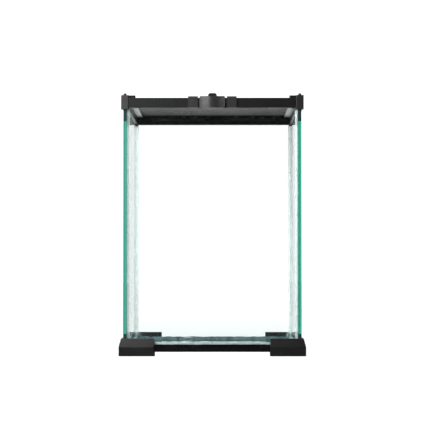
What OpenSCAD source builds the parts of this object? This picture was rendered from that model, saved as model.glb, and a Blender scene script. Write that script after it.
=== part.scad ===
// Small glass terrarium with a hinged mesh lid, a rocking catch and two cable inlets.
// The origin is on the ground under the middle of the tank. The front faces -Y and Z is up.

/* [Glass] */
// Width over the two side panes
tank_w = 200; // [180:1:240]
// Depth over the front and rear panes
tank_d = 200; // [180:1:240]
// Height of the rim's upper face above the ground
rim_z = 289.6; // [240:0.1:400]
// Thickness of the upright panes
pane_t = 4; // [3:0.5:6]
// Thickness of the floor pane
floor_t = 4; // [3:0.5:6]
// Play between the edges of neighbouring panes
pane_play = 0.2; // [0.1:0.05:0.4]
// Leg of the silicone bead's section
bead = 3.2; // [2:0.1:4]

/* [Feet] */
// Length of a foot along each side
foot_len = 40.4; // [32:0.1:60]
// How far a foot stands out from the glass
foot_out = 5; // [4:0.1:8]
// Height of a foot
foot_h = 19.8; // [16:0.1:28]
// Height at which a foot starts to slope inwards
foot_knee = 10; // [6:0.1:12]
// How far a foot slopes in from there to its top
foot_slope = 2.7; // [1:0.1:3.2]
// How far a foot reaches under the glass from its outer face
foot_reach = 14; // [12:0.5:24]
// Radius of a foot's outer corner
foot_corner_r = 3; // [1:0.5:5]
// Bevel on the ends of a foot
foot_bevel = 1; // [0.5:0.1:2]

/* [Bottom rails] */
// Height of the bottom rails above the ground
rail_lift = 4.7; // [4.5:0.1:8]
// Height of a bottom rail
base_rail_h = 8.4; // [6:0.1:10]
// Thickness of the ledge that carries the glass
ledge_t = 2.5; // [1.5:0.1:3]
// How far the ledge reaches inwards from the glass's outer face
ledge_w = 11; // [9:0.5:14]
// Length of the tongue that a bottom rail has in each foot
tongue_len = 8; // [5:0.5:12]
// How much narrower the tongue is than the ledge on each side
tongue_inset = 1; // [0.5:0.1:2]
// Play of a tongue in its pocket
tongue_play = 0.15; // [0.1:0.05:0.3]

/* [Rim rails] */
// Height of a rim rail
rim_h = 11.1; // [10:0.1:16]
// Thickness of the outer wall of all the rails
rail_wall = 2; // [1.5:0.1:2.5]
// Thickness of the rim rails' inner wall
inner_wall = 1.5; // [1:0.1:2.5]
// Thickness of the rim over the glass
rim_web = 2.3; // [1.8:0.1:3]
// Play between the glass and the rim over it
glass_top_play = 0.3; // [0.2:0.1:0.6]
// Width of the flange that carries the lid
seat_w = 6.5; // [5:0.1:10]
// Thickness of that flange
seat_t = 1.2; // [1:0.1:1.6]
// Depth of the flange's upper face below the rim
seat_drop = 1.1; // [0.8:0.1:1.5]

/* [Rim corners] */
// How far a corner block stands out from the glass
corner_out = 2.5; // [2.5:0.1:4]
// How far a corner block reaches in from the inner face of the glass
corner_in = 2; // [1.5:0.1:3]
// How far a corner block reaches down below the rim rails
corner_drop = 1.5; // [0.5:0.1:4]
// Height of a corner block above the rim
corner_rise = 3; // [2:0.1:4.5]
// Length of a corner block's arm over each rail
arm_len = 7.5; // [6:0.1:12]
// Width of an arm
arm_w = 5.2; // [4:0.1:5.4]
// Radius of an arm's end
arm_end_r = 1.2; // [0.5:0.1:1.8]
// Radius of a corner block's upright edges
corner_edge_r = 0.8; // [0.4:0.1:1.2]
// Radius of the peg under an arm
peg_r = 1.1; // [0.8:0.1:1.5]
// How far a peg stops short of the bottom of its hole
peg_gap = 0.1; // [0.05:0.05:0.3]
// Play round pegs and pins that stay put
peg_play = 0.05; // [0.02:0.01:0.1]
// Radius of a corner pin's domed head
nub_r = 1.85; // [1.5:0.05:2.5]
// Height of that head
nub_h = 2.6; // [1.9:0.1:3]
// Radius of a corner pin's shank
corner_pin_r = 1.2; // [0.8:0.1:1.4]
// Length of a corner pin's shank
corner_pin_len = 4; // [3:0.1:4.3]

/* [Cable inlets] */
// Height of the rear pane's hold in its rail
rear_grip = 2.5; // [2:0.1:3]
// Thickness of the shelf between the rear pane and the inlets
shelf_t = 1.2; // [1:0.1:1.5]
// Thickness of the rear rail's top
rear_top_t = 1.1; // [0.9:0.1:1.3]
// Distance from the middle to the window of an inlet
window_x = 9.5; // [8:0.5:14]
// Room beside a shutter, up to the corner block, into which it slides open
shutter_room = 15.5; // [15:0.5:20]
// Length of the slot in the outer wall, through which a cable passes
slot_len = 13; // [8:0.5:14]
// Overlap of a shutter past each end of its window
shutter_lap = 1; // [0.5:0.1:1.5]
// Thickness of a shutter
shutter_t = 1.6; // [1.2:0.1:1.8]
// Play of a shutter in its groove
shutter_play = 0.2; // [0.15:0.05:0.35]
// Height and width of the ribs that guide a shutter
guide = 0.6; // [0.5:0.1:0.7]
// Height of the grip ribs on a shutter
grip_h = 2; // [1:0.1:3]
// How far the grip ribs stay inside the inner wall's face
grip_inset = 0.5; // [0.2:0.1:0.8]
// Distance from one grip rib to the next
grip_pitch = 2; // [1.6:0.1:3]
// Thickness of a grip rib
grip_w = 1; // [0.6:0.1:1.2]
// Distance from the end of the window to the first grip rib
grip_start = 4; // [2:0.5:8]

/* [Lid] */
// Gap round the lid inside the rim
lid_gap = 0.6; // [0.5:0.1:1]
// Play between the lid and its flange
lid_play = 0.2; // [0.15:0.05:0.3]
// Thickness of the lid frame
lid_t = 1.6; // [1.5:0.1:1.9]
// Width of the lid frame's bars
lid_bar = 6.9; // [6.5:0.1:9]
// Radius of the lid's corners
lid_corner_r = 3; // [2:0.5:6]
// Width of the rebate that holds the mesh
rebate_w = 2.8; // [1.5:0.1:3]
// Thickness of the frame under the mesh
rebate_floor = 0.8; // [0.6:0.1:0.9]
// Thickness of the mesh
mesh_t = 0.4; // [0.3:0.05:0.5]
// Gaps of the mesh along each side
mesh_cells = 17; // [8:1:17]
// Width of the strips between the gaps
mesh_strip = 0.9; // [0.6:0.1:1.6]
// Play round the mesh in its rebate
mesh_play = 0.1; // [0.05:0.05:0.3]

/* [Lid hinge] */
// Distance from the end of the lid to the middle of the hinge near it
hinge_inset = 33.9; // [28:0.1:50]
// Width of the leaf and its barrel
leaf_w = 12; // [8:0.5:16]
// Thickness of the leaf
leaf_t = 1.4; // [1:0.1:1.5]
// Gap between the leaf and the rim
leaf_gap = 0.5; // [0.4:0.05:0.7]
// Distance of the hinge axis behind the lid
axis_back = 3.3; // [3:0.1:3.6]
// Radius of the hinge barrel
barrel_r = 2.1; // [2:0.1:2.3]
// Gap between the barrel and the rim
barrel_gap = 0.6; // [0.4:0.05:0.8]
// Radius of a hinge pin
hinge_pin_r = 1; // [0.8:0.05:1.2]
// Thickness of each ear beside the barrel
ear_t = 3; // [2:0.1:4]
// Wall of an ear round the hinge pin
ear_wall = 1.3; // [1:0.1:1.3]
// Gap between the leaf and the ears
ear_gap = 0.3; // [0.2:0.05:0.5]
// Running play of the turning pieces on their pins
run_play = 0.05; // [0.02:0.01:0.08]

/* [Finger tab] */
// Width of the finger tab
tab_w = 9.8; // [7:0.1:14]
// Thickness of the finger tab
tab_t = 3; // [2:0.1:3]
// Height of the finger tab above the lid
tab_h = 5.6; // [4:0.1:8]
// Radius of the tab's upper corners
tab_r = 2.6; // [1.5:0.1:3]
// Thickness of the tab's foot
tab_foot_t = 1; // [0.8:0.1:1.5]
// Radius of the peg that holds the tab
tab_peg_r = 1; // [0.7:0.1:1.2]

/* [Catch] */
// How far the catch stands out from the front rail
catch_out = 3; // [2.8:0.1:4]
// Width of the rocker
rocker_w = 28.7; // [20:0.1:34]
// Height of the rocker above its pin
rocker_up = 6.3; // [5.9:0.1:6.6]
// Height of the rocker below its pin
rocker_down = 7; // [5:0.1:7]
// Radius of the rocker's corners, seen from the front
rocker_r = 1.6; // [0.8:0.1:2]
// How far the rocker's front bows out
rocker_bow = 0.5; // [0.3:0.1:1]
// Gap between the rocker and the rail behind it
rocker_gap = 0.4; // [0.3:0.05:0.6]
// Height of the pin below the rim
latch_pin_drop = 4.6; // [4.2:0.1:4.8]
// Radius of the catch's pin
latch_pin_r = 0.5; // [0.5:0.05:0.7]
// How far the ends of that pin stay inside the lugs
latch_pin_inset = 0.5; // [0.2:0.1:2]
// Gap between the rocker and each lug
lug_gap = 1.95; // [1:0.05:3]
// Width of a lug
lug_w = 10.8; // [8:0.1:14]
// Height of a lug above the rim
lug_rise = 1.6; // [1.4:0.1:2.2]
// How far a lug lies back over the rim
lug_back = 6; // [4:0.1:7]
// Bevel on a lug's front edges
lug_bevel = 1; // [0.5:0.1:1.2]
// Width of the nib that holds the lid
nib_w = 9; // [6:0.1:14]
// Gap between the nib and the rim under it
nib_lift = 0.3; // [0.25:0.05:0.4]
// Gap between the nib and the finger tab
nib_gap = 0.3; // [0.2:0.05:0.5]
// Room beside the rocker in the rail's notch
notch_side = 1; // [0.5:0.1:1.5]

/* [Hidden] */
$fn = 48;
plastic = [0.14, 0.14, 0.15];
clear = [0.72, 0.9, 0.85, 0.35];
silicone = [0.85, 0.9, 0.9, 0.6];
steel = [0.7, 0.71, 0.73];
wire = [0.25, 0.25, 0.26];
eps = 0.01;

// Sides are numbered from the front and corners from the front left, going round to the right:
// 0 is the front, 1 the right, 2 the rear and 3 the left.
half_w = tank_w / 2;
half_d = tank_d / 2;
function half_across(side) = side % 2 == 0 ? half_w : half_d;
function half_deep(side) = side % 2 == 0 ? half_d : half_w;

// Heights
glass_z0 = rail_lift + ledge_t;
floor_top = glass_z0 + floor_t;
rim_z0 = rim_z - rim_h;
web_z0 = rim_z - rim_web;
pane_top = web_z0 - glass_top_play;
rear_pane_top = rim_z0 + rear_grip;
seat_z = rim_z - seat_drop;
seat_z0 = seat_z - seat_t;

// Rim rails, measured inwards from the outer face of the glass
wall_in = pane_t + inner_wall;
seat_in = wall_in + seat_w;
corner_side = pane_t + corner_in;
corner_z0 = rim_z0 - corner_drop;
corner_top = rim_z + corner_rise;
arm_u0 = wall_in - arm_w;
peg_u = wall_in - arm_w / 2;
peg_len = rear_top_t - peg_gap;
peg_x = corner_side + arm_len / 2;
corner_pin_u = (corner_side - corner_out) / 2;

// Cable inlets
shelf_z0 = rear_pane_top + pane_play;
shelf_z = shelf_z0 + shelf_t;
rear_top_z0 = rim_z - rear_top_t;
window_z0 = shelf_z + guide;
slot_z1 = rear_top_z0 - guide;
shutter_u1 = pane_t - shutter_play;
shutter_u0 = shutter_u1 - shutter_t;
guide_u1 = shutter_u0 - shutter_play;
shutter_z0 = shelf_z + shutter_play;
shutter_z1 = rear_top_z0 - shutter_play;
shutter_x0 = window_x - shutter_lap;
shutter_x1 = half_w - corner_side - shutter_room;
window_x1 = shutter_x1 - shutter_lap;
grip_u = wall_in - grip_inset;
grip_z0 = (window_z0 + seat_z0 - grip_h) / 2;

// Lid
lid_z0 = seat_z + lid_play;
lid_top = lid_z0 + lid_t;
lid_half_w = half_w - wall_in - lid_gap;
lid_half_d = half_d - wall_in - lid_gap;
mesh_half_w = lid_half_w - lid_bar;
mesh_half_d = lid_half_d - lid_bar;
mesh_z0 = lid_z0 + rebate_floor;
retainer_z0 = mesh_z0 + mesh_t;
mesh_border = rebate_w - mesh_play;
tab_depth = lid_bar - rebate_w - mesh_play;
tab_peg_y = tab_depth / 2 - lid_half_d;

// Lid hinge
axis_y = lid_half_d + axis_back;
axis_z = rim_z + barrel_gap + barrel_r;
leaf_z0 = rim_z + leaf_gap;
hinge_x = lid_half_w - hinge_inset;
leaf_y0 = mesh_half_d + rebate_w + mesh_play;
hinge_bore_r = hinge_pin_r + run_play;
ear_r = hinge_pin_r + ear_wall;
ear_x = leaf_w / 2 + ear_gap;
hinge_pin_half = ear_x + ear_t;

// Catch
rail_face = -half_d - rail_wall;
catch_face = rail_face - catch_out;
rocker_back = rail_face - rocker_gap;
latch_y = (catch_face + rocker_back) / 2;
latch_z = rim_z - latch_pin_drop;
rocker_z0 = latch_z - rocker_down;
rocker_z1 = latch_z + rocker_up;
nib_z0 = rim_z + nib_lift;
nib_end = -lid_half_d - nib_gap;
lug_x0 = rocker_w / 2 + lug_gap;
latch_pin_half = lug_x0 + lug_w - latch_pin_inset;
lug_top = rim_z + lug_rise;
lug_end = rail_face + lug_back;
latch_bore_r = latch_pin_r + run_play;
bow_r = (pow(rocker_w / 2, 2) + pow(rocker_bow, 2)) / (2 * rocker_bow);

// Helpers

// Puts what is drawn from a glass corner, with X and Y pointing inwards, at one of the four corners.
module at_corner(corner) {
    rotate([0, 0, 90 * corner])
        translate([-half_across(corner), -half_deep(corner), 0])
            children();
}

// Runs a section along one side. In the section, X is the way in from the glass's outer face.
module along(side, length) {
    rotate([0, 0, 90 * side])
        translate([-length / 2, -half_deep(side), 0])
            rotate([90, 0, 90])
                linear_extrude(length)
                    children();
}

// A box between two opposite corners
module span(low, high) {
    translate(low)
        cube(high - low);
}

// A square from the origin whose corners are rounded
module round_square(w, h, r) {
    translate([r, 0])
        square([w - 2 * r, h]);
    translate([0, r])
        square([w, h - 2 * r]);
    for (x = [r, w - r], y = [r, h - r])
        translate([x, y])
            circle(r);
}

// A ring of the lid, with its outer and inner half sizes
module lid_ring(outer_w, outer_d, inner_w, inner_d, r) {
    difference() {
        translate([-outer_w, -outer_d])
            round_square(2 * outer_w, 2 * outer_d, r);
        translate([-inner_w, -inner_d])
            square([2 * inner_w, 2 * inner_d]);
    }
}

// Feet and bottom rails

module foot_plan() {
    arm = foot_out + foot_reach;
    intersection() {
        union() {
            square([foot_len, arm]);
            square([arm, foot_len]);
        }
        polygon([
            [0, 0], [foot_len - foot_bevel, 0], [foot_len, foot_bevel], [foot_len, foot_len],
            [foot_bevel, foot_len], [0, foot_len - foot_bevel]
        ]);
        round_square(2 * foot_len, 2 * foot_len, foot_corner_r);
    }
}

// Upright over the knee, then leaning in
module foot_face() {
    polygon([
        [0, 0], [2 * foot_len, 0], [2 * foot_len, foot_h], [foot_slope, foot_h], [0, foot_knee]
    ]);
}

module tongue_pocket() {
    span(
        [foot_len - foot_out - tongue_len - tongue_play, tongue_inset - tongue_play, rail_lift - tongue_play],
        [foot_len, ledge_w - tongue_inset + tongue_play, foot_h]
    );
}

module foot(corner) {
    color(plastic)
        at_corner(corner)
            difference() {
                translate([-foot_out, -foot_out, 0])
                    intersection() {
                        linear_extrude(foot_h)
                            foot_plan();
                        rotate([90, 0, 90])
                            linear_extrude(foot_len)
                                foot_face();
                        mirror([1, -1, 0])
                            rotate([90, 0, 90])
                                linear_extrude(foot_len)
                                    foot_face();
                    }
                span([0, 0, glass_z0], [foot_len, foot_len, foot_h + eps]);
                tongue_pocket();
                mirror([1, -1, 0])
                    tongue_pocket();
            }
}

module base_rail(side) {
    free = 2 * (half_across(side) + foot_out - foot_len);
    color(plastic) {
        along(side, free)
            polygon([
                [-rail_wall, rail_lift], [ledge_w, rail_lift], [ledge_w, glass_z0],
                [0, glass_z0], [0, rail_lift + base_rail_h], [-rail_wall, rail_lift + base_rail_h]
            ]);
        along(side, free + 2 * tongue_len)
            translate([tongue_inset, rail_lift])
                square([ledge_w - 2 * tongue_inset, ledge_t]);
    }
}

// Glass

module floor_glass() {
    inset = pane_t + pane_play;
    color(clear)
        span([inset - half_w, inset - half_d, glass_z0], [half_w - inset, half_d - inset, floor_top]);
}

// A pane that stands between the side panes
module cross_glass(side, top) {
    color(clear)
        along(side, 2 * (half_w - pane_t - pane_play))
            translate([0, glass_z0])
                square([pane_t, top - glass_z0]);
}

module side_glass(side) {
    color(clear)
        along(side, tank_d)
            translate([0, glass_z0])
                square([pane_t, pane_top - glass_z0]);
}

// Seals

module floor_bead(side) {
    along(side, 2 * (half_across(side) - pane_t))
        translate([pane_t, floor_top])
            polygon([[0, 0], [bead, 0], [0, bead]]);
}

module floor_seal() {
    color(silicone)
        for (side = [0:3])
            floor_bead(side);
}

module corner_seal(corner) {
    color(silicone)
        difference() {
            at_corner(corner)
                translate([pane_t, pane_t, floor_top])
                    linear_extrude(corner_z0 - floor_top)
                        polygon([[0, 0], [bead, 0], [0, bead]]);
            for (side = [0:3])
                floor_bead(side);
        }
}

// Rim rails

// The channel over a pane, with the flange for the lid
module rim_section() {
    difference() {
        translate([-rail_wall, rim_z0])
            square([rail_wall + wall_in, rim_h]);
        translate([0, rim_z0 - eps])
            square([pane_t, web_z0 - rim_z0 + eps]);
    }
}

// The rear channel: the pane below, the groove of the shutters above
module rear_section() {
    difference() {
        translate([-rail_wall, rim_z0])
            square([rail_wall + wall_in, rim_h]);
        translate([0, rim_z0 - eps])
            square([pane_t, shelf_z0 - rim_z0 + eps]);
        translate([0, shelf_z])
            square([pane_t, rear_top_z0 - shelf_z]);
    }
    for (z = [shelf_z, rear_top_z0 - guide])
        translate([guide_u1 - guide, z])
            square([guide, guide]);
}

// Holes in a rail for the pegs of the corner blocks' arms. They open into the groove of the shutters
// at the rear, where the pegs end above them.
module peg_holes(side) {
    rotate([0, 0, 90 * side])
        for (x = [-1, 1])
            translate([x * (half_across(side) - peg_x), peg_u - half_deep(side), rear_top_z0 - eps])
                cylinder(r = peg_r + peg_play, h = rear_top_t + 2 * eps);
}

// The flange that carries the lid. The flanges at the sides stop at the other two.
module seat(side) {
    reach = side % 2 == 0 ? corner_side : seat_in;
    along(side, 2 * (half_across(side) - reach))
        translate([wall_in - eps, seat_z0])
            square([seat_w + eps, seat_t]);
}

module rim_rail(side) {
    color(plastic)
        difference() {
            union() {
                along(side, 2 * (half_across(side) - corner_side))
                    rim_section();
                seat(side);
            }
            peg_holes(side);
        }
}

// The front rail has a notch into which the rocker's lower half tips.
module rim_rail_front() {
    notch = rocker_w / 2 + notch_side;
    difference() {
        rim_rail(0);
        span([-notch, rail_face - eps, rim_z0 - eps], [notch, -half_d, latch_z]);
    }
}

module hinge_ears() {
    for (side = [-1, 1], ear = [-1, 1])
        translate([side * hinge_x + ear * (ear_x + ear_t / 2) - ear_t / 2, 0, 0])
            difference() {
                union() {
                    span([0, axis_y - ear_r, rim_z - eps], [ear_t, axis_y + ear_r, axis_z]);
                    translate([0, axis_y, axis_z])
                        rotate([0, 90, 0])
                            cylinder(r = ear_r, h = ear_t);
                }
                translate([-eps, axis_y, axis_z])
                    rotate([0, 90, 0])
                        cylinder(r = hinge_bore_r, h = ear_t + 2 * eps);
            }
}

module inlet_cuts() {
    for (side = [0, 1])
        mirror([side, 0, 0]) {
            span(
                [window_x, half_d - wall_in - eps, window_z0],
                [window_x1, half_d - pane_t + eps, seat_z0]
            );
            span(
                [window_x, half_d - eps, window_z0],
                [window_x + slot_len, half_d + rail_wall + eps, slot_z1]
            );
        }
}

module rim_rail_rear() {
    color(plastic) {
        difference() {
            union() {
                along(2, 2 * (half_w - corner_side))
                    rear_section();
                seat(2);
            }
            peg_holes(2);
            inlet_cuts();
        }
        hinge_ears();
    }
}

module inlet_shutter(side) {
    color(plastic)
        mirror([side, 0, 0]) {
            span(
                [shutter_x0, half_d - shutter_u1, shutter_z0],
                [shutter_x1, half_d - shutter_u0, shutter_z1]
            );
            for (rib = [0:2])
                translate([window_x + grip_start + rib * grip_pitch, half_d - grip_u, grip_z0])
                    cube([grip_w, grip_u - shutter_u1 + eps, grip_h]);
        }
}

// Rim corners

module corner_arm() {
    translate([corner_side - eps, arm_u0, rim_z])
        linear_extrude(corner_rise)
            intersection() {
                translate([-arm_len, 0])
                    round_square(2 * arm_len + eps, arm_w, arm_end_r);
                square([arm_len + eps, arm_w]);
            }
    translate([peg_x, peg_u, rim_z - peg_len])
        cylinder(r = peg_r, h = peg_len + eps);
}

module rim_corner(corner) {
    size = corner_out + corner_side;
    color(plastic)
        at_corner(corner)
            difference() {
                union() {
                    translate([-corner_out, -corner_out, corner_z0])
                        linear_extrude(corner_top - corner_z0)
                        round_square(size, size, corner_edge_r);
                    corner_arm();
                    mirror([1, -1, 0])
                        corner_arm();
                }
                span([0, 0, corner_z0 - eps], [pane_t, corner_side + eps, web_z0]);
                span([0, 0, corner_z0 - eps], [corner_side + eps, pane_t, web_z0]);
                translate([corner_pin_u, corner_pin_u, corner_top - corner_pin_len - peg_play])
                    cylinder(r = corner_pin_r + peg_play, h = corner_pin_len + peg_play + eps);
            }
}

module corner_pin(corner) {
    dome_r = (pow(nub_r, 2) + pow(nub_h, 2)) / (2 * nub_h);
    color(plastic)
        at_corner(corner)
            translate([corner_pin_u, corner_pin_u, corner_top]) {
                intersection() {
                    cylinder(r = nub_r, h = nub_h);
                    translate([0, 0, nub_h - dome_r])
                        sphere(dome_r);
                }
                translate([0, 0, -corner_pin_len])
                    cylinder(r = corner_pin_r, h = corner_pin_len + eps);
            }
}

// Lid

module hinge_leaf() {
    translate([-leaf_w / 2, 0, 0])
        difference() {
            union() {
                span([0, leaf_y0, leaf_z0], [leaf_w, axis_y, leaf_z0 + leaf_t]);
                translate([0, axis_y, axis_z])
                    rotate([0, 90, 0])
                        cylinder(r = barrel_r, h = leaf_w);
            }
            translate([-eps, axis_y, axis_z])
                rotate([0, 90, 0])
                    cylinder(r = hinge_bore_r, h = leaf_w + 2 * eps);
        }
}

module lid_frame() {
    color(plastic)
        difference() {
            union() {
                translate([0, 0, lid_z0])
                    linear_extrude(lid_t)
                        lid_ring(lid_half_w, lid_half_d, mesh_half_w, mesh_half_d, lid_corner_r);
                for (x = [-hinge_x, hinge_x])
                    translate([x, 0, 0])
                        hinge_leaf();
            }
            span(
                [-mesh_half_w - rebate_w, -mesh_half_d - rebate_w, mesh_z0],
                [mesh_half_w + rebate_w, mesh_half_d + rebate_w, lid_top + eps]
            );
            translate([0, tab_peg_y, lid_z0 - eps])
                cylinder(r = tab_peg_r + peg_play, h = lid_t + 2 * eps);
        }
}

// The outline of the mesh and of the frame that clamps it
module mesh_outline() {
    square([2 * (mesh_half_w + mesh_border), 2 * (mesh_half_d + mesh_border)], center = true);
}

module lid_mesh() {
    cell = [2 * mesh_half_w / mesh_cells, 2 * mesh_half_d / mesh_cells];
    color(wire)
        translate([0, 0, mesh_z0])
            linear_extrude(mesh_t)
                difference() {
                    mesh_outline();
                    for (i = [0:mesh_cells - 1], j = [0:mesh_cells - 1])
                        translate([(i + 0.5) * cell.x - mesh_half_w, (j + 0.5) * cell.y - mesh_half_d])
                            square([cell.x - mesh_strip, cell.y - mesh_strip], center = true);
                }
}

module mesh_retainer() {
    color(plastic)
        translate([0, 0, retainer_z0])
            linear_extrude(lid_top - retainer_z0)
                difference() {
                    mesh_outline();
                    square([2 * mesh_half_w, 2 * mesh_half_d], center = true);
                }
}

module lid_tab() {
    color(plastic) {
        translate([-tab_w / 2, tab_t - lid_half_d, lid_top])
            rotate([90, 0, 0])
                linear_extrude(tab_t)
                    intersection() {
                        translate([0, -tab_h])
                            round_square(tab_w, 2 * tab_h, tab_r);
                        square([tab_w, tab_h]);
                    }
        span([-tab_w / 2, -lid_half_d, lid_top], [tab_w / 2, tab_depth - lid_half_d, lid_top + tab_foot_t]);
        translate([0, tab_peg_y, lid_z0])
            cylinder(r = tab_peg_r, h = lid_t + eps);
    }
}

module hinge_pin(side) {
    color(steel)
        translate([side * hinge_x - hinge_pin_half, axis_y, axis_z])
            rotate([0, 90, 0])
                cylinder(r = hinge_pin_r, h = 2 * hinge_pin_half);
}

// Catch

module latch_lug(side) {
    color(plastic)
        mirror([side, 0, 0])
            translate([lug_x0, 0, 0])
                difference() {
                    rotate([90, 0, 90])
                        linear_extrude(lug_w)
                            polygon([
                                [rail_face, rim_z0], [rail_face, rim_z], [lug_end, rim_z], [lug_end, lug_top],
                                [catch_face + lug_bevel, lug_top], [catch_face, lug_top - lug_bevel],
                                [catch_face, rim_z0]
                            ]);
                    translate([-eps, latch_y, latch_z])
                        rotate([0, 90, 0])
                            cylinder(r = latch_pin_r + peg_play, h = lug_w + 2 * eps);
                }
}

// Seen from above: flat at the back, bowed at the front. Front and sides reach past the rocker, so
// that the arc alone makes its front and the rounded rectangle its sides.
module rocker_plan() {
    intersection() {
        translate([-rocker_w / 2 - eps, catch_face - eps])
            square([rocker_w + 2 * eps, rocker_back - catch_face + eps]);
        translate([0, catch_face + bow_r])
            circle(bow_r, $fn = 200);
    }
}

module latch_rocker() {
    color(plastic)
        difference() {
            union() {
                intersection() {
                    translate([0, 0, rocker_z0])
                        linear_extrude(rocker_z1 - rocker_z0)
                            rocker_plan();
                    translate([-rocker_w / 2, rail_face, rocker_z0])
                        rotate([90, 0, 0])
                            linear_extrude(2 * catch_out)
                                round_square(rocker_w, rocker_z1 - rocker_z0, rocker_r);
                }
                span([-nib_w / 2, latch_y, nib_z0], [nib_w / 2, nib_end, rocker_z1]);
            }
            translate([-rocker_w, latch_y, latch_z])
                rotate([0, 90, 0])
                    cylinder(r = latch_bore_r, h = 2 * rocker_w);
        }
}

module latch_pin() {
    color(steel)
        translate([-latch_pin_half, latch_y, latch_z])
            rotate([0, 90, 0])
                cylinder(r = latch_pin_r, h = 2 * latch_pin_half);
}

foot(0);  // foot_front_left
foot(1);  // foot_front_right
foot(2);  // foot_rear_right
foot(3);  // foot_rear_left
base_rail(0);  // base_rail_front
base_rail(1);  // base_rail_right
base_rail(2);  // base_rail_rear
base_rail(3);  // base_rail_left
floor_glass();
cross_glass(0, pane_top);  // front_glass
cross_glass(2, rear_pane_top);  // rear_glass
side_glass(3);  // side_glass_left
side_glass(1);  // side_glass_right
floor_seal();
corner_seal(0);  // corner_seal_front_left
corner_seal(1);  // corner_seal_front_right
corner_seal(2);  // corner_seal_rear_right
corner_seal(3);  // corner_seal_rear_left
rim_rail_front();
rim_rail(1);  // rim_rail_right
rim_rail_rear();
rim_rail(3);  // rim_rail_left
rim_corner(0);  // rim_corner_front_left
rim_corner(1);  // rim_corner_front_right
rim_corner(2);  // rim_corner_rear_right
rim_corner(3);  // rim_corner_rear_left
corner_pin(0);  // corner_pin_front_left
corner_pin(1);  // corner_pin_front_right
corner_pin(2);  // corner_pin_rear_right
corner_pin(3);  // corner_pin_rear_left
inlet_shutter(1);  // inlet_shutter_left
inlet_shutter(0);  // inlet_shutter_right
lid_frame();
lid_mesh();
mesh_retainer();
lid_tab();
hinge_pin(-1);  // hinge_pin_left
hinge_pin(1);  // hinge_pin_right
latch_lug(1);  // latch_lug_left
latch_lug(0);  // latch_lug_right
latch_rocker();
latch_pin();
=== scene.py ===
# %% [markdown]
# # A small glass terrarium
#
# The object is an upright tank of 4 mm glass. Black mouldings hold it at the bottom and at the top, and a
# lid of fine wire mesh lies in the upper ones. The imported CAD model gives the places and sizes, so this
# script only adds looks and small shapes. We load that model first.

# %% Load the frame
from math import pi, radians

import bpy
from mathutils import Matrix, Vector


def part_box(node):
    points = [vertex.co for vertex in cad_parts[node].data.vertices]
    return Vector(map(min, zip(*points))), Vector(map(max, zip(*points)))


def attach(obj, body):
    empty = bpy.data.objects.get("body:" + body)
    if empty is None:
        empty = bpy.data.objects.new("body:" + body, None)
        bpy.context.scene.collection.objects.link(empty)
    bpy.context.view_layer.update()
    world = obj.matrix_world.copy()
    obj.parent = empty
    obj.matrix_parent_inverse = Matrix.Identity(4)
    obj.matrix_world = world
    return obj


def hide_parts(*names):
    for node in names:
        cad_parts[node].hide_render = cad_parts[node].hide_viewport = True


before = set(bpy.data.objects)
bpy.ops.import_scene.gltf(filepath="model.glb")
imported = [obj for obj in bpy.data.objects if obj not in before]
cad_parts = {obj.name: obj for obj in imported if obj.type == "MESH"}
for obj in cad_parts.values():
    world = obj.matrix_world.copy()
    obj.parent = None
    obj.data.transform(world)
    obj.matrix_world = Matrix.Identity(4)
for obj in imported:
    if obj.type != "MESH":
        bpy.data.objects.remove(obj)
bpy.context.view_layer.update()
MM = 0.001

# %% [markdown]
# ## Camera
#
# The picture was taken from about 1.8 metres with a long lens, at about a third of the tank's height.
# The camera looks up by one degree, and a small lens shift does the rest, so that the upright edges stay
# nearly parallel, as they are in the picture. The image is square, 433 pixels a side. The Standard view
# transform leaves white as white.

# %% Place the camera
bpy.ops.object.camera_add(
    location=(0.0126, -1.8216, 0.0896), rotation=(radians(90 + 1.0), 0, radians(0.265))
)
camera = bpy.context.object
camera.name = "camera"
camera.data.lens = 127.7
camera.data.sensor_width = 36
camera.data.shift_y = 0.0757
camera.data.clip_end = 100
bpy.context.scene.camera = camera
bpy.context.scene.view_settings.view_transform = "Standard"
print("lens:", camera.data.lens, "mm, at", tuple(round(c, 4) for c in camera.location))

# %% [markdown]
# ## Material helpers
#
# A material is a small graph of nodes. These helpers add a node with its settings and join two sockets,
# so that each finish below reads as a short list. Patterns are laid out on Object coordinates: they are
# metres on the piece, so a grain of half a millimetre stays that size everywhere. A noise node's values
# lie mostly between 0.3 and 0.7, so that is the stretch which gets spread over a finish's own range.

# %% Helpers for nodes
def new_material(name):
    material = bpy.data.materials.new(name)
    material.use_nodes = True
    tree = material.node_tree
    return material, tree, tree.nodes["Principled BSDF"]


def add_node(tree, kind, settings=None, **sockets):
    node = tree.nodes.new("ShaderNode" + kind)
    for key, value in (settings or {}).items():
        setattr(node, key, value)
    for key, value in sockets.items():
        node.inputs[key.replace("_", " ")].default_value = value
    return node


def noise_on_object(tree, size, detail=2.0, roughness=0.5):
    """Noise whose lumps are about size metres wide."""
    place = add_node(tree, "TexCoord")
    noise = add_node(tree, "TexNoise", Scale=1 / size, Detail=detail, Roughness=roughness)
    tree.links.new(place.outputs["Object"], noise.inputs["Vector"])
    return noise


def coordinate(tree, axis, kind="Object"):
    """One coordinate of the point or direction that is being shaded."""
    place = add_node(tree, "TexCoord")
    parts = add_node(tree, "SeparateXYZ")
    tree.links.new(place.outputs[kind], parts.inputs["Vector"])
    return parts.outputs[axis]


def fade(tree, value, start, end, first, last):
    """Goes from first to last while the value goes from start to end."""
    span = add_node(tree, "MapRange", From_Min=start, From_Max=end, To_Min=first, To_Max=last)
    tree.links.new(value, span.inputs["Value"])
    return span.outputs["Result"]


# %% Helpers that turn noise into a finish
NOISE_LOW, NOISE_HIGH = 0.3, 0.7


def spread(tree, noise, low, high):
    """Maps noise onto a range of values."""
    return fade(tree, noise.outputs["Fac"], NOISE_LOW, NOISE_HIGH, low, high)


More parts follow.
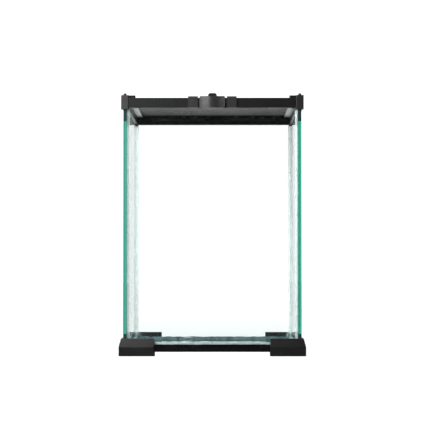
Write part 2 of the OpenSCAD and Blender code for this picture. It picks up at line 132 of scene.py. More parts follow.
def spread_colour(tree, noise, low, high):
    """Maps noise onto a blend of two colours."""
    ramp = add_node(tree, "ValToRGB")
    stops = ramp.color_ramp.elements
    stops[0].position, stops[1].position = NOISE_LOW, NOISE_HIGH
    stops[0].color, stops[1].color = (*low, 1), (*high, 1)
    tree.links.new(noise.outputs["Fac"], ramp.inputs["Fac"])
    return ramp.outputs["Color"]


def bump_from(tree, shader, noise, depth):
    """Raises the surface by up to depth metres where the noise is high."""
    bump = add_node(tree, "Bump", Strength=1.0, Distance=depth)
    tree.links.new(noise.outputs["Fac"], bump.inputs["Height"])
    tree.links.new(bump.outputs["Normal"], shader.inputs["Normal"])


# %% [markdown]
# ## Black plastics
#
# The blacks differ in depth and shine. Corner blocks, lugs, the lid's frame and the front feet come from a
# spark-eroded mould, so they are matt with a texture of a third of a millimetre. The front feet are drawn
# darker than the rest of that moulding, as painted shade on the low pieces. The rim rails are extruded:
# smoother, with little shine. The finger tab is the deepest black, and the same deepest black is painted
# shade on the bottom rails, the rear rail and the rear feet. The catch is satin, and the shutters are a
# plain smooth moulding. Clouds in colour and roughness keep any of them from looking like flat paint.
#
# One finish is not black. The undersides of the side rails' flanges get a light, dull metallic face: a
# painted sheen for the light that this black plastic mirrors at a flat angle.

# %% Make the plastics
CLOUD = 12 * MM


def plastic(name, dark, light, roughness, grain, depth, shine=0.5, metallic=0):
    """A moulding whose texture has lumps of the size grain, raised by depth."""
    material, tree, shader = new_material(name)
    shader.inputs["Specular IOR Level"].default_value = shine
    shader.inputs["Metallic"].default_value = metallic
    clouds = noise_on_object(tree, CLOUD, detail=3)
    texture = noise_on_object(tree, grain, detail=2, roughness=0.6)
    tree.links.new(spread_colour(tree, clouds, dark, light), shader.inputs["Base Color"])
    tree.links.new(spread(tree, clouds, *roughness), shader.inputs["Roughness"])
    bump_from(tree, shader, texture, depth)
    return material


MOULDED = plastic(
    "matt_moulded_plastic", (0.013, 0.013, 0.014), (0.018, 0.018, 0.019),
    roughness=(0.42, 0.50), grain=0.35 * MM, depth=0.012 * MM
)
# Painted shade: the front feet are a darker copy of the matt moulding.
FOOT = plastic(
    "foot_plastic_painted_shade", (0.006, 0.006, 0.0065), (0.009, 0.009, 0.0095),
    roughness=(0.38, 0.46), grain=0.35 * MM, depth=0.010 * MM
)
EXTRUDED = plastic(
    "extruded_rail_plastic", (0.006, 0.006, 0.0062), (0.009, 0.009, 0.0092),
    roughness=(0.26, 0.34), grain=0.6 * MM, depth=0.002 * MM, shine=0.3
)
# Painted sheen: a light metallic face stands for the light that the black flange mirrors at a flat angle.
PAINTED_SHEEN = plastic(
    "flange_painted_sheen", (0.69, 0.65, 0.67), (0.79, 0.745, 0.77),
    roughness=(0.40, 0.48), grain=0.6 * MM, depth=0.002 * MM, metallic=1
)
# The finger tab's own deepest black, also used as painted shade on the bottom rails, the rear rail, the rear
# feet and the arms of the corner blocks.
DEEPEST_BLACK_AND_SHADE = plastic(
    "deepest_black_and_painted_shade", (0.002, 0.002, 0.002), (0.004, 0.004, 0.004),
    roughness=(0.20, 0.30), grain=0.6 * MM, depth=0.003 * MM, shine=0.3
)
SATIN = plastic(
    "satin_catch_plastic", (0.010, 0.010, 0.011), (0.014, 0.014, 0.015),
    roughness=(0.16, 0.19), grain=0.8 * MM, depth=0.002 * MM, shine=0.7
)
SMOOTH = plastic(
    "smooth_shutter_plastic", (0.016, 0.016, 0.017), (0.021, 0.021, 0.022),
    roughness=(0.30, 0.38), grain=0.6 * MM, depth=0.006 * MM
)
plastics = (MOULDED, FOOT, EXTRUDED, PAINTED_SHEEN, DEEPEST_BLACK_AND_SHADE, SATIN, SMOOTH)
print("plastics:", [material.name for material in plastics])

# %% [markdown]
# ## Glass
#
# Float glass looks clear through its 4 mm and green along its edges, where light has come the long way
# through it. A plain Volume Absorption does both: it takes hardly any red in 4 mm and almost all of it in
# 200 mm. The ground edges are tinted a little as well. Real glass also lets lamps light what stands behind
# it. A path tracer would lose that light, so shadow rays meet a transparent surface in place of the glass.

# %% Make the glass
GLASS_IOR = 1.5
KEPT_COLOUR = (0, 0.73, 0.58)
ABSORPTION_PER_METRE = 11.5


def float_glass(name, colour, clearness):
    """The smaller its clearness, the more of its own colour the surface shows."""
    material, tree, shader = new_material(name)
    shader.inputs["Base Color"].default_value = (*colour, 1)
    shader.inputs["Roughness"].default_value = 0
    shader.inputs["IOR"].default_value = GLASS_IOR
    shader.inputs["Transmission Weight"].default_value = clearness
    output = tree.nodes["Material Output"]
    path = add_node(tree, "LightPath")
    through = add_node(tree, "BsdfTransparent")
    choose = add_node(tree, "MixShader")
    absorb = add_node(tree, "VolumeAbsorption", Density=ABSORPTION_PER_METRE)
    absorb.inputs["Color"].default_value = (*KEPT_COLOUR, 1)
    tree.links.new(path.outputs["Is Shadow Ray"], choose.inputs["Fac"])
    tree.links.new(shader.outputs["BSDF"], choose.inputs[1])
    tree.links.new(through.outputs["BSDF"], choose.inputs[2])
    tree.links.new(choose.outputs["Shader"], output.inputs["Surface"])
    tree.links.new(absorb.outputs["Volume"], output.inputs["Volume"])
    return material


GLASS = float_glass("clear_float_glass", (1, 1, 1), 1)
GROUND = float_glass("ground_glass_edge", (0.38, 0.86, 0.85), 0.94)
print("glass:", GLASS.name, GROUND.name)

# %% [markdown]
# ## Silicone, wire and steel
#
# Cured silicone is hazy, so it is drawn as a partly see-through body with a soft shine and small lumps. The
# bead along the rear of the floor is painted dark and teal, as painted shade for the green glass and the
# black rail that it sits between, and the one at the front is a cloudy grey. The mesh is coated wire, with
# painted shade that darkens it towards the rear and painted light that brightens it at the front. The pins
# are drawn steel with fine marks along them.

# %% Make the silicones
def silicone(name, low, high, alpha):
    material, tree, shader = new_material(name)
    lumps = noise_on_object(tree, size=5 * MM, detail=3)
    tree.links.new(spread_colour(tree, lumps, low, high), shader.inputs["Base Color"])
    tree.links.new(spread(tree, lumps, 0.22, 0.36), shader.inputs["Roughness"])
    shader.inputs["Alpha"].default_value = alpha
    bump_from(tree, shader, lumps, depth=0.15 * MM)
    return material


CLEAR_BEAD = silicone("clear_silicone", (0.66, 0.70, 0.70), (0.82, 0.85, 0.85), 0.33)
FRONT_BEAD = silicone("front_silicone", (0.30, 0.36, 0.37), (0.42, 0.48, 0.49), 0.8)
# Painted shade: the rear bead and the rear dabs are drawn dark and teal for the glass and the rail around
# them.
SHADED_BEAD = silicone("silicone_painted_shade", (0.05, 0.095, 0.11), (0.095, 0.16, 0.175), 0.93)
print("silicones:", CLEAR_BEAD.name, FRONT_BEAD.name, SHADED_BEAD.name)

# %% Make wire and steel
LID_HALF = 90 * MM
FRONT_PAINTED_LIGHT, REAR_PAINTED_SHADE = 1.5, 0.35


def coated_wire():
    material, tree, shader = new_material("coated_mesh_wire")
    worn = noise_on_object(tree, size=3 * MM, detail=3)
    colour = spread_colour(tree, worn, (0.118, 0.107, 0.115), (0.175, 0.160, 0.171))
    # Painted light and shade: the wire's colour is scaled from 1.5 at the front of the lid to 0.35 at the
    # rear.
    level = fade(tree, coordinate(tree, "Y"), -LID_HALF, LID_HALF, FRONT_PAINTED_LIGHT, REAR_PAINTED_SHADE)
    shade = add_node(tree, "VectorMath", {"operation": "SCALE"})
    tree.links.new(colour, shade.inputs[0])
    tree.links.new(level, shade.inputs["Scale"])
    tree.links.new(shade.outputs["Vector"], shader.inputs["Base Color"])
    tree.links.new(spread(tree, worn, 0.3, 0.45), shader.inputs["Roughness"])
    bump_from(tree, shader, noise_on_object(tree, size=0.2 * MM), depth=0.005 * MM)
    return material


MARK_WIDTH = MM / 6
MARK_STRETCH = 20


def drawn_steel(name, dark, light):
    material, tree, shader = new_material(name)
    place = add_node(tree, "TexCoord")
    stretch = add_node(tree, "Mapping")
    stretch.inputs["Scale"].default_value = (1 / MARK_STRETCH, 1, 1)
    marks = add_node(tree, "TexNoise", Scale=1 / MARK_WIDTH, Detail=2)
    tree.links.new(place.outputs["Object"], stretch.inputs["Vector"])
    tree.links.new(stretch.outputs["Vector"], marks.inputs["Vector"])
    tree.links.new(spread_colour(tree, marks, dark, light), shader.inputs["Base Color"])
    tree.links.new(spread(tree, marks, 0.25, 0.4), shader.inputs["Roughness"])
    shader.inputs["Metallic"].default_value = 1
    bump_from(tree, shader, marks, depth=0.003 * MM)
    return material


WIRE = coated_wire()
STEEL = drawn_steel("drawn_steel", (0.42, 0.42, 0.44), (0.58, 0.58, 0.60))
BLACKENED = drawn_steel("blackened_steel", (0.05, 0.05, 0.055), (0.09, 0.09, 0.095))
print("metals:", WIRE.name, STEEL.name, BLACKENED.name)

# %% [markdown]
# ## Moulded pieces
#
# A mould can't have a knife-sharp edge, and it is the small rounding that catches the light. The CAD
# solids already have the right shapes, so each piece starts as a copy of its solid. Its triangles are
# merged into flat faces, and a Bevel modifier rounds its edges. Weighted normals then keep the large faces
# looking flat, while the shading rolls over in the narrow rounded ones.

# %% Helpers: select, apply, and hand a piece to the frame
def only(obj):
    bpy.ops.object.select_all(action="DESELECT")
    obj.select_set(True)
    bpy.context.view_layer.objects.active = obj


def apply_modifier(obj, kind, **settings):
    modifier = obj.modifiers.new(kind.lower(), kind)
    for key, value in settings.items():
        setattr(modifier, key, value)
    only(obj)
    bpy.ops.object.modifier_apply(modifier=modifier.name)


def hand_over(piece, node, body, material):
    """Gives the piece its finish, attaches it to the body it rides on, and hides the node it stands for."""
    piece.data.materials.clear()
    piece.data.materials.append(material)
    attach(piece, body)
    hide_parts(node)


# %% Helpers: a merged copy, and its rounded edges
SHARP = 30
FACING = 0.9


def merged_copy(node, name):
    piece = bpy.data.objects.new(name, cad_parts[node].data.copy())
    bpy.context.scene.collection.objects.link(piece)
    only(piece)
    bpy.ops.object.mode_set(mode="EDIT")
    bpy.ops.mesh.select_all(action="SELECT")
    bpy.ops.mesh.remove_doubles(threshold=0.001 * MM)
    bpy.ops.mesh.dissolve_limited(angle_limit=radians(1))
    bpy.ops.object.mode_set(mode="OBJECT")
    return piece


def round_all(piece, width, angle=SHARP, segments=2):
    apply_modifier(
        piece, "BEVEL", width=width, segments=segments, limit_method="ANGLE", angle_limit=radians(angle)
    )
    bpy.ops.object.shade_smooth()
    apply_modifier(piece, "WEIGHTED_NORMAL", keep_sharp=False)


def moulding(node, body, material, width, angle=SHARP, segments=2):
    piece = merged_copy(node, "finished_" + node)
    round_all(piece, width, angle, segments)
    hand_over(piece, node, body, material)
    print(node, len(piece.data.polygons), "faces")
    return piece


def second_finish(piece, material, test):
    """Gives another material to the faces that pass the test."""
    piece.data.materials.append(material)
    for face in piece.data.polygons:
        face.material_index = int(test(face))


# %% [markdown]
# ### Feet, rails and corner blocks
#
# A foot stands upright to its knee and leans in above it. That bend is only 15 degrees, so the feet are
# rounded from 12 degrees on, which leaves the bend crisp with a thin line of light along it.
#
# Two kinds of piece have a second finish. The arms of a corner block, which lie on the rails nearer to the
# middle than the block itself, get the deepest black as painted shade. The underside of a side rail's flange
# gets the painted sheen, and it lies well above the lower edges of the rail's walls.

# %% Shape the fixed mouldings
CORNERS = ("front_left", "front_right", "rear_right", "rear_left")
SIDES = ("front", "right", "rear", "left")
FOOT_BEND = 12
BLOCK_FROM = 92 * MM
rail_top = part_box("rim_rail_front")[1][2]


def on_an_arm(face):
    return face.center.z > rail_top and min(abs(face.center.x), abs(face.center.y)) < BLOCK_FROM


def faces_down_above(height):
    """A test for the faces that look down and lie above the height."""
    return lambda face: face.normal.z < -FACING and face.center.z > height


for corner in CORNERS:
    # Painted shade: the rear feet get the deepest black.
    foot_finish = DEEPEST_BLACK_AND_SHADE if "rear" in corner else FOOT
    moulding("foot_" + corner, "tank", foot_finish, width=0.5 * MM, angle=FOOT_BEND)
    block = moulding("rim_corner_" + corner, "tank", MOULDED, width=0.3 * MM)
    # Painted shade: the arms of the block get the deepest black.
    second_finish(block, DEEPEST_BLACK_AND_SHADE, on_an_arm)
for side in SIDES:
    # Painted shade: the bottom rails get the deepest black.
    moulding("base_rail_" + side, "tank", DEEPEST_BLACK_AND_SHADE, width=0.3 * MM)
    # Painted shade: the rear rim rail gets the deepest black.
    rim_finish = DEEPEST_BLACK_AND_SHADE if side == "rear" else EXTRUDED
    rail = moulding("rim_rail_" + side, "tank", rim_finish, width=0.2 * MM)
    if side in ("left", "right"):
        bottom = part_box("rim_rail_" + side)[0][2]
        # Painted sheen on the undersides of the flange.
        second_finish(rail, PAINTED_SHEEN, faces_down_above(bottom + 1 * MM))
for hand in ("left", "right"):
    moulding("latch_lug_" + hand, "tank", MOULDED, width=0.35 * MM)

# %% [markdown]
# ### Lid and shutters
#
# The lid frame is a flat moulding that only needs its edges eased, and so is the thin frame that clamps the
# mesh. The shutters are the two lighter strips in the rear rail. Each one rides on its own body, so that it
# slides with its joint.

# %% Shape the lid and the shutters
moulding("lid_frame", "lid", MOULDED, width=0.2 * MM)
moulding("mesh_retainer", "lid", MOULDED, width=0.1 * MM)
moulding("lid_tab", "lid", DEEPEST_BLACK_AND_SHADE, width=0.5 * MM, segments=3)
for hand in ("left", "right"):
    moulding("inlet_shutter_" + hand, "shutter_" + hand, SMOOTH, width=0.15 * MM)

# %% [markdown]
# ### The catch
#
# The rocker is the piece that a hand looks for, so the edges of its bowed face roll back much more than
# those of the other mouldings. The outline of its front face is selected by place and bevelled in edit
# mode, and all other edges get a small rounding. The face stays plain.

# %% Shape the rocker
def sharp_edges_where(piece, test):
    """Selects the sharp edges whose two ends pass the test, in edit mode."""
    only(piece)
    bpy.ops.object.mode_set(mode="EDIT")
    bpy.ops.mesh.select_mode(type="EDGE")
    bpy.ops.mesh.select_all(action="DESELECT")
    bpy.ops.mesh.edges_select_sharp(sharpness=radians(SHARP))
    bpy.ops.object.mode_set(mode="OBJECT")
    chosen = 0
    for edge in piece.data.edges:
        ends = [piece.data.vertices[i].co for i in edge.vertices]
        edge.select = edge.select and all(test(p) for p in ends)
        chosen += edge.select
    bpy.ops.object.mode_set(mode="EDIT")
    return chosen


FACE_DEPTH = 0.6 * MM
ROLL = 0.7 * MM
rocker_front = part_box("latch_rocker")[0][1]
rocker = merged_copy("latch_rocker", "finished_latch_rocker")
front_edges = sharp_edges_where(rocker, lambda p: p.y < rocker_front + FACE_DEPTH)
bpy.ops.mesh.bevel(offset=ROLL, segments=5, affect="EDGES", clamp_overlap=True)
bpy.ops.object.mode_set(mode="OBJECT")
round_all(rocker, width=0.1 * MM)
hand_over(rocker, "latch_rocker", "catch", SATIN)
print("rocker:", front_edges, "edges of its face rolled back")

# %% [markdown]
# ### Pins
#
# A domed pin is a solid of revolution. Half of its outline is drawn as a chain of points from the top of the
# dome to the bottom of the shank, and Spin turns it once round the pin's axis. The hinge pins and the pin of
# the catch are plain rods with eased ends, made the same way.

# %% Spin the pins
def spun(name, outline, centre, axis, steps=32):
    """outline: (distance along the axis, radius) pairs, from one end on the axis to the other."""
    bpy.ops.mesh.primitive_plane_add(size=1 * MM)
    piece = bpy.context.object
    piece.name = name
    bpy.ops.object.mode_set(mode="EDIT")
    bpy.ops.mesh.select_mode(type="VERT")
    bpy.ops.mesh.select_all(action="SELECT")
    bpy.ops.mesh.merge(type="CENTER")
    for (along, radius), (before, old) in zip(outline, [(0, 0)] + list(outline)):
        step = Vector((radius - old, 0, along - before))
        if (along, radius) == outline[0]:
            bpy.ops.transform.translate(value=step)
        else:
            bpy.ops.mesh.extrude_vertices_move(TRANSFORM_OT_translate={"value": step})
    bpy.ops.mesh.select_all(action="SELECT")
    bpy.ops.mesh.spin(steps=steps, angle=2 * pi, center=(0, 0, 0), axis=(0, 0, 1))
    bpy.ops.mesh.select_all(action="SELECT")
    bpy.ops.mesh.remove_doubles(threshold=0.002 * MM)
    bpy.ops.mesh.normals_make_consistent(inside=False)
    bpy.ops.object.mode_set(mode="OBJECT")
    turn = Vector((0, 0, 1)).rotation_difference(Vector(axis))
    for vertex in piece.data.vertices:
        vertex.co = turn @ vertex.co + Vector(centre)
    bpy.ops.object.shade_smooth_by_angle(angle=radians(40))
    return piece


def middle_of(node):
    low, high = (Vector(c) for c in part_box(node))
    return (low + high) / 2, low, high


DOME_R, DOME_H = 1.85 * MM, 2.6 * MM
SHANK_R = 1.2 * MM
SHANK_EASE = 0.2 * MM
DOME_STEPS = 8
for corner in CORNERS:
    node = "corner_pin_" + corner
    middle, low, high = middle_of(node)
    top, end = high[2], low[2]
    ball = (DOME_R ** 2 + DOME_H ** 2) / (2 * DOME_H)
    outline = [(top, 0)]
    for step in range(1, DOME_STEPS + 1):
        drop = DOME_H * (step / DOME_STEPS) ** 2
        outline.append((top - drop, (2 * ball * drop - drop * drop) ** 0.5))
    outline += [(top - DOME_H, SHANK_R), (end + SHANK_EASE, SHANK_R)]
    outline += [(end, SHANK_R - SHANK_EASE), (end, 0)]
    pin = spun("finished_" + node, outline, (middle[0], middle[1], 0), (0, 0, 1), steps=24)
    hand_over(pin, node, "tank", MOULDED)
print("domed pins made:", len(CORNERS))

ROD_EASE = 0.15 * MM
for node, material in (("hinge_pin_left", STEEL), ("hinge_pin_right", STEEL), ("latch_pin", BLACKENED)):
    middle, low, high = middle_of(node)
    half, radius = (high[0] - low[0]) / 2, (high[2] - low[2]) / 2
    outline = [(half, 0), (half, radius - ROD_EASE), (half - ROD_EASE, radius)]
    outline += [(-x, r) for x, r in reversed(outline)]
    rod = spun("finished_" + node, outline, middle, (1, 0, 0))
    hand_over(rod, node, "tank", material)
    print(node, "is", round(2 * half / MM, 1), "mm long")

# %% [markdown]
# ## Panes
#
# Each pane is a copy of its plate, drawn in by a few hundredths of a millimetre. That leaves a film of air
# between the glass and what holds it, as in the real tank, and keeps two surfaces from lying in the same
# place. The arrises are ground: a single narrow facet runs along every edge.

# %% Shape the panes
FILM = 0.03 * MM
ARRIS = 0.25 * MM


def pane(node):
    piece = merged_copy(node, "finished_" + node)
    bpy.ops.object.mode_set(mode="EDIT")
    bpy.ops.mesh.select_all(action="SELECT")
    bpy.ops.transform.shrink_fatten(value=-FILM, use_even_offset=True)
    bpy.ops.object.mode_set(mode="OBJECT")
    apply_modifier(piece, "BEVEL", width=ARRIS, segments=1, limit_method="ANGLE")
    hand_over(piece, node, "tank", GLASS)
    thin = min(range(3), key=lambda axis: piece.dimensions[axis])
    second_finish(piece, GROUND, lambda face: abs(face.normal[thin]) <= FACING)
    return piece


for node in ("floor_glass", "front_glass", "rear_glass", "side_glass_left", "side_glass_right"):
    size = pane(node).dimensions
    print(node, [round(s / MM, 1) for s in size], "mm")

# %% [markdown]
# ## Silicone beads
#
# A bead is pressed into the corner between two panes and drawn off with a finger, so its section is a
# triangle with a hollow long side, and its edges wander. A box as long as the joint is cut into many short
# lengths, its free edge is pushed in towards the corner, and a Displace modifier with a cloud texture makes
# the free faces wander. The faces on the glass stay flat, because their weight is nothing.

# %% Helpers: a bead along X
HOLLOW = 0.36
wander = bpy.data.textures.new("bead_wander", "CLOUDS")
wander.noise_scale = 9 * MM
wander.noise_depth = 2


def straight_bead(name, length, reach, cuts):
    """A bead along X whose corner is the X axis. It reaches out along +Y and +Z."""
    middle = FILM + reach / 2
    bpy.ops.mesh.primitive_cube_add(size=1, location=(0, middle, middle), scale=(length, reach, reach))
    piece = bpy.context.object
    piece.name = name
    bpy.ops.object.transform_apply(location=True, rotation=False, scale=True)
    for edge in piece.data.edges:
        a, b = (piece.data.vertices[i].co for i in edge.vertices)
        edge.select = abs(a.x - b.x) > length / 2
    bpy.ops.object.mode_set(mode="EDIT")
    bpy.ops.mesh.select_mode(type="EDGE")
    bpy.ops.mesh.subdivide(number_cuts=cuts)
    bpy.ops.object.mode_set(mode="OBJECT")
    return piece


def hollow_and_wander(piece, reach, swing):
    """Hollows the long side of a bead, and lets its free faces wander by up to half of swing."""
    middle = FILM + reach / 2
    groups = {name: piece.vertex_groups.new(name=name) for name in ("Y", "Z")}
    for vertex in piece.data.vertices:
        out_y, out_z = vertex.co.y > middle, vertex.co.z > middle
        if out_y and out_z:
            vertex.co.y = vertex.co.z = FILM + HOLLOW * reach
        for name, out in (("Y", out_y), ("Z", out_z)):
            if out:
                groups[name].add([vertex.index], 1, "REPLACE")
    for name in ("Y", "Z"):
        apply_modifier(
            piece, "DISPLACE", texture=wander, texture_coords="LOCAL", vertex_group=name,
            direction=name, strength=swing, mid_level=0.5
        )
    bpy.ops.object.shade_smooth_by_angle(angle=radians(50))


# %% [markdown]
# Every bead is made along X and then carried to its place by a matrix. A floor bead is turned round the
# upright axis, a quarter turn for each side. Each side's bead is shifted before it wanders and put back
# after, so that no two of them wander alike. A corner bead is first stood up, by letting its X become the
# height, and then turned in the same way. The front bead is laid the thickest.

# %% Lay the beads
REACH, FRONT_REACH = 3.1 * MM, 4.3 * MM
FLOOR_SWING, CORNER_SWING = 1.3 * MM, 0.9 * MM
FLOOR_BEAD = 191.5 * MM
FLOOR_CUTS, CORNER_CUTS = 95, 65
SHIFT = 7 * MM
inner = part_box("front_glass")[1][1]
floor_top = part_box("floor_glass")[1][2]
seal_middle, seal_low, seal_high = middle_of("corner_seal_front_left")
height = seal_high[2] - seal_low[2]
stand_up = Matrix(((0, 1, 0, 0), (0, 0, 1, 0), (1, 0, 0, 0), (0, 0, 0, 1)))
to_corner = Matrix.Translation((inner, inner, seal_middle[2])) @ stand_up
for quarter, (side, corner) in enumerate(zip(SIDES, CORNERS)):
    turn = Matrix.Rotation(quarter * pi / 2, 4, "Z")
    reach = FRONT_REACH if side == "front" else REACH
    flat = straight_bead("floor_bead_" + side, FLOOR_BEAD, reach, FLOOR_CUTS)
    flat.data.transform(Matrix.Translation((quarter * SHIFT, 0, 0)))
    hollow_and_wander(flat, reach, FLOOR_SWING)
    flat.data.transform(Matrix.Translation((-quarter * SHIFT, 0, 0)))
    flat.data.transform(turn @ Matrix.Translation((0, inner, floor_top)))
    bead_finish = {"front": FRONT_BEAD, "rear": SHADED_BEAD}.get(side, CLEAR_BEAD)
    hand_over(flat, "floor_seal", "tank", bead_finish)
    upright = straight_bead("corner_bead_" + corner, height, REACH, CORNER_CUTS)
    hollow_and_wander(upright, REACH, CORNER_SWING)
    upright.data.transform(turn @ to_corner)
    hand_over(upright, "corner_seal_" + corner, "tank", CLEAR_BEAD)
print("beads laid:", 2 * len(SIDES))

# %% [markdown]
# Two strokes of the gun never meet without a trace. Small dabs sit in the lower corners at the front, and
# larger ones at the rear, painted dark and teal like the rear bead as painted shade. One more lies on the
# rear bead, left of the middle. Each is a squashed sphere whose surface wanders like the beads.

# %% Add the dabs
def dab(name, place, size):
    bpy.ops.mesh.primitive_uv_sphere_add(segments=24, ring_count=12, radius=1, location=place, scale=size)
    piece = bpy.context.object
    piece.name = name
    bpy.ops.object.transform_apply(location=True, rotation=False, scale=True)
    apply_modifier(
        piece, "DISPLACE", texture=wander, texture_coords="LOCAL", strength=0.8 * MM, mid_level=0.5
    )
    bpy.ops.object.shade_smooth()
    return piece


FRONT_DAB = Vector((1.5, 1.5, 2.2)) * MM
REAR_DAB = Vector((2.9, 1.8, 3.8)) * MM
LONG_DAB = Vector((6, 1.4, 1.6)) * MM
DABS = (
    ("dab_front_left", (-94.1, -94.1, 13.6), FRONT_DAB, CLEAR_BEAD),
    ("dab_front_right", (94.1, -94.1, 13.6), FRONT_DAB, CLEAR_BEAD),
    ("dab_rear_left", (-92.6, 93.7, 15.4), REAR_DAB, SHADED_BEAD),
    ("dab_rear_right", (92.6, 93.7, 15.4), REAR_DAB, SHADED_BEAD),
    ("dab_rear", (-31.3, 94.2, 13.1), LONG_DAB, CLEAR_BEAD),
)
for name, place, size, dab_finish in DABS:
    lump = dab(name, Vector(place) * MM, size)
    hand_over(lump, "floor_seal", "tank", dab_finish)
print("dabs made:", len(DABS))

# %% [markdown]
# ## Woven mesh
#
# The lid is woven wire: each wire rises over one crossing and dips under the next. One period of a wire is
# modelled from a ring of four points by two extrusions. An Array modifier repeats it along the wire, and a
# second one repeats the wire across. Neighbours start half a period apart, so they are made as two sets.

# %% Weave the mesh
PITCH = 1.5 * MM
WIRE_D = 0.28 * MM
PERIODS = 59
WIRES = 59
HALF_RUN = PERIODS * PITCH
OUTERMOST = (WIRES - 1) * PITCH


def wave_set(start_y, first_up, wires):
    """Wires along X, two pitches apart, that begin up or down."""
    rise = WIRE_D / 2 if first_up else -WIRE_D / 2
    bpy.ops.mesh.primitive_circle_add(
        vertices=4, radius=WIRE_D / 2, location=(-HALF_RUN, start_y, rise), rotation=(0, pi / 2, 0)
    )
    piece = bpy.context.object
    bpy.ops.object.transform_apply(location=True, rotation=True, scale=True)
    bpy.ops.object.mode_set(mode="EDIT")
    bpy.ops.mesh.select_all(action="SELECT")
    for step in (-2 * rise, 2 * rise):
        bpy.ops.mesh.extrude_region_move(TRANSFORM_OT_translate={"value": (PITCH, 0, step)})
    bpy.ops.object.mode_set(mode="OBJECT")
    array = dict(use_relative_offset=False, use_constant_offset=True)
    apply_modifier(
        piece, "ARRAY", count=PERIODS, constant_offset_displace=(2 * PITCH, 0, 0), use_merge_vertices=True,
        merge_threshold=0.01 * MM, **array
    )
    apply_modifier(piece, "ARRAY", count=wires, constant_offset_displace=(0, 2 * PITCH, 0), **array)
    return piece


def wires_along_x(name, first_up):
    even = wave_set(-OUTERMOST, first_up, WIRES)
    odd = wave_set(PITCH - OUTERMOST, not first_up, WIRES - 1)
    only(even)
    odd.select_set(True)
    bpy.ops.object.join()
    even.name = name
    bpy.ops.object.mode_set(mode="EDIT")
    bpy.ops.mesh.select_all(action="SELECT")
    bpy.ops.mesh.fill_holes(sides=4)
    bpy.ops.mesh.normals_make_consistent(inside=False)
    bpy.ops.object.mode_set(mode="OBJECT")
    bpy.ops.object.shade_smooth()
    return even


mesh_middle = middle_of("lid_mesh")[0]
for name, quarter, first_up in (("mesh_warp", 0, True), ("mesh_weft", 1, False)):
    wires = wires_along_x(name, first_up)
    wires.data.transform(Matrix.Translation(mesh_middle) @ Matrix.Rotation(quarter * pi / 2, 4, "Z"))
    hand_over(wires, "lid_mesh", "lid", WIRE)
    print(name, len(wires.data.polygons), "faces")

# %% [markdown]
# ## Stage
#
# The studio is white behind the tank and dark behind the camera. So the panes show no milky reflection, the
# upright faces of the plastic stay black, and the undersides, seen at a flat angle, mirror the white side.
#
# Four kinds of ray are told apart. A camera ray comes straight from the camera. A mirrored ray has just met
# a shiny surface or passed through glass. A clear view is one that passed through glass with no mirror on
# its way. A diffuse ray leaves a dull surface. Where two levels apply to one ray, the larger one counts.
#
# The floor is nearly white for camera rays, and a little whiter far away, so that no horizon shows. Mirrored
# rays see it fade to black under the tank, from the rear to the front. Clear views find it grey under the
# front half of the tank, which is a painted shadow of the tank, nearly white just behind the tank, and
# lighter still further off.

# %% Helpers: how bright a ray sees the studio
def maths(tree, operation, *values):
    node = add_node(tree, "Math", {"operation": operation})
    for value, socket in zip(values, node.inputs):
        if isinstance(value, (int, float)):
            socket.default_value = value
        else:
            tree.links.new(value, socket)
    return node.outputs[0]


def brightness(tree, mirrored, camera, clear_view, diffuse=0.0):
    """The brightness that each kind of ray sees. Each level is a plain number or a socket."""
    path = add_node(tree, "LightPath")
    straight = maths(tree, "LESS_THAN", path.outputs["Glossy Depth"], 0.5)
    clear = maths(tree, "MULTIPLY", path.outputs["Is Transmission Ray"], straight)
    bent = maths(tree, "MAXIMUM", path.outputs["Is Glossy Ray"], path.outputs["Is Transmission Ray"])
    levels = (
        maths(tree, "MULTIPLY", path.outputs["Is Camera Ray"], camera),
        maths(tree, "MULTIPLY", clear, clear_view),
        maths(tree, "MULTIPLY", bent, mirrored),
        maths(tree, "MULTIPLY", path.outputs["Is Diffuse Ray"], diffuse),
    )
    total = levels[0]
    for level in levels[1:]:
        total = maths(tree, "MAXIMUM", total, level)
    return total


# %% Floor
bpy.ops.mesh.primitive_plane_add(size=40, location=(0, 0, -0.1 * MM))
floor = bpy.context.object
floor.name = "floor"
floor_material, tree, shader = new_material("pale_floor")
shader.inputs["Base Color"].default_value = (0.2, 0.2, 0.2, 1)
shader.inputs["Roughness"].default_value = 0.9
shader.inputs["Specular IOR Level"].default_value = 0
shader.inputs["Emission Color"].default_value = (1, 1, 1, 1)
metres_back = coordinate(tree, "Y")
mirrored_floor = fade(tree, metres_back, -0.12, 0.12, 0.0, 0.95)
seen_floor = fade(tree, metres_back, 0.4, 3.0, 0.93, 1.0)
far_floor = fade(tree, metres_back, 0.3, 1.6, 0.96, 1.25)
# Painted shadow of the tank: clear views see the floor at about half its level under the tank.
painted_tank_shadow = fade(tree, metres_back, 0.1, 0.3, 0.55, 1.0)
clear_floor = maths(tree, "MULTIPLY", far_floor, painted_tank_shadow)
floor_light = brightness(tree, mirrored_floor, seen_floor, clear_floor)
tree.links.new(floor_light, shader.inputs["Emission Strength"])
floor.data.materials.append(floor_material)

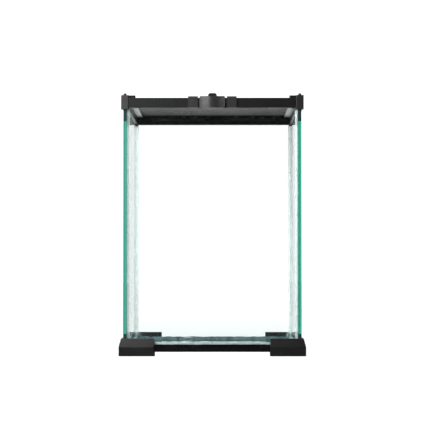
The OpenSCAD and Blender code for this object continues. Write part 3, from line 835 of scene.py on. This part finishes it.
# %% [markdown]
# ## Backdrop and lamps
#
# The world is the backdrop. Camera rays and clear views find it plain white. Mirrored rays find it bright
# behind the tank, most of all near the horizon, and dim above and in front. Diffuse rays get a low plain
# level, so that the lamps model the shapes.
#
# A soft key lamp stands at the upper left, as the lit slope of the left foot shows, and a wide lamp hangs
# above for the tops of the mouldings. Two small lamps hang above the camera, one to each side, and the left
# one is the stronger. They put the two highlights on the rocker. They are higher than anything that the
# front pane mirrors, and no lamp is seen through glass, so none shows as a white patch.

# %% World
world = bpy.data.worlds.new("studio")
bpy.context.scene.world = world
world.use_nodes = True
tree = world.node_tree
backdrop = tree.nodes["Background"]
backdrop.inputs["Color"].default_value = (1, 1, 1, 1)
off_horizon = maths(tree, "ABSOLUTE", coordinate(tree, "Z", "Generated"))
near_horizon = fade(tree, off_horizon, 0.1, 0.5, 1.05, 0.25)
behind_tank = fade(tree, coordinate(tree, "Y", "Generated"), -0.1, 0.4, 0.05, 1.0)
mirrored_sky = maths(tree, "MULTIPLY", near_horizon, behind_tank)
sky_light = brightness(tree, mirrored_sky, camera=1.25, clear_view=1.3, diffuse=0.25)
tree.links.new(sky_light, backdrop.inputs["Strength"])

# %% Lamps
def soft_lamp(name, place, target, size, power):
    """A square lamp of the given size in metres, which shines from its place towards the target."""
    bpy.ops.object.light_add(type="AREA", location=place)
    lamp = bpy.context.object
    lamp.name = name
    lamp.data.shape = "SQUARE"
    lamp.data.size = size
    lamp.data.energy = power
    lamp.visible_camera = False
    lamp.visible_transmission = False
    lamp.rotation_euler = (Vector(target) - Vector(place)).to_track_quat("-Z", "Y").to_euler()
    print(name, "at", place, power, "W")


CATCH = (0, -0.1, 0.28)
soft_lamp("key_lamp", (-0.35, -0.5, 0.46), (-0.05, 0, 0.15), size=0.25, power=4)
soft_lamp("front_lamp", (-0.155, -1.75, 0.517), CATCH, size=0.08, power=0.51)
soft_lamp("fill_lamp", (0.2, -1.75, 0.517), CATCH, size=0.08, power=0.14)
soft_lamp("top_lamp", (0, 0, 1.2), (0, 0, 0.2), size=0.8, power=6)
